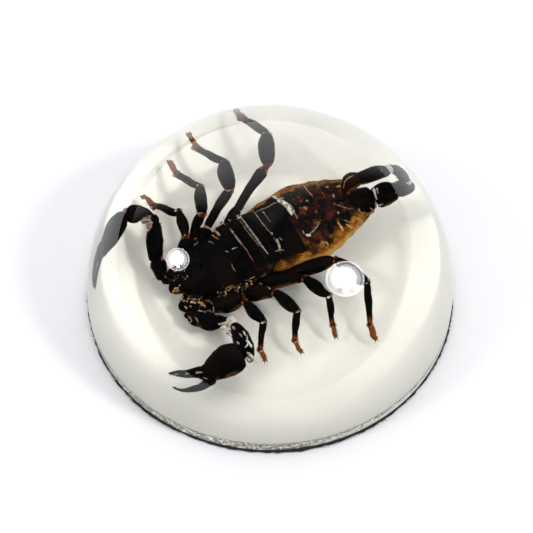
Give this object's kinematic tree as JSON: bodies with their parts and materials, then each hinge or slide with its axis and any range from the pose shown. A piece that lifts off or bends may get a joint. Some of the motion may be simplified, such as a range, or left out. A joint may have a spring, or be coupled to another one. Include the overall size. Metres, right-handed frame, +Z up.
{
  "type": "scorpion in resin dome",
  "caption": "Clear resin dome paperweight with a black scorpion sealed in it, on an opaque white backing and a black felt pad.",
  "frame": {"origin": "centre of the felt pad's underside", "axes": "+Z up through the dome's top; +X towards the scorpion's tail end, -Y towards its left side"},
  "size_m": [0.0852, 0.0852, 0.0448],
  "materials": {
    "felt": "black felt",
    "backing": "opaque white resin",
    "clear_resin": "polished clear resin",
    "cuticle": "black-brown chitin"
  },
  "bodies": {
    "root": {"felt_pad": "felt", "white_backing": "backing", "resin_bottom": "clear_resin", "resin_top": "clear_resin", "scorpion": "cuticle"}
  },
  "joints": []
}
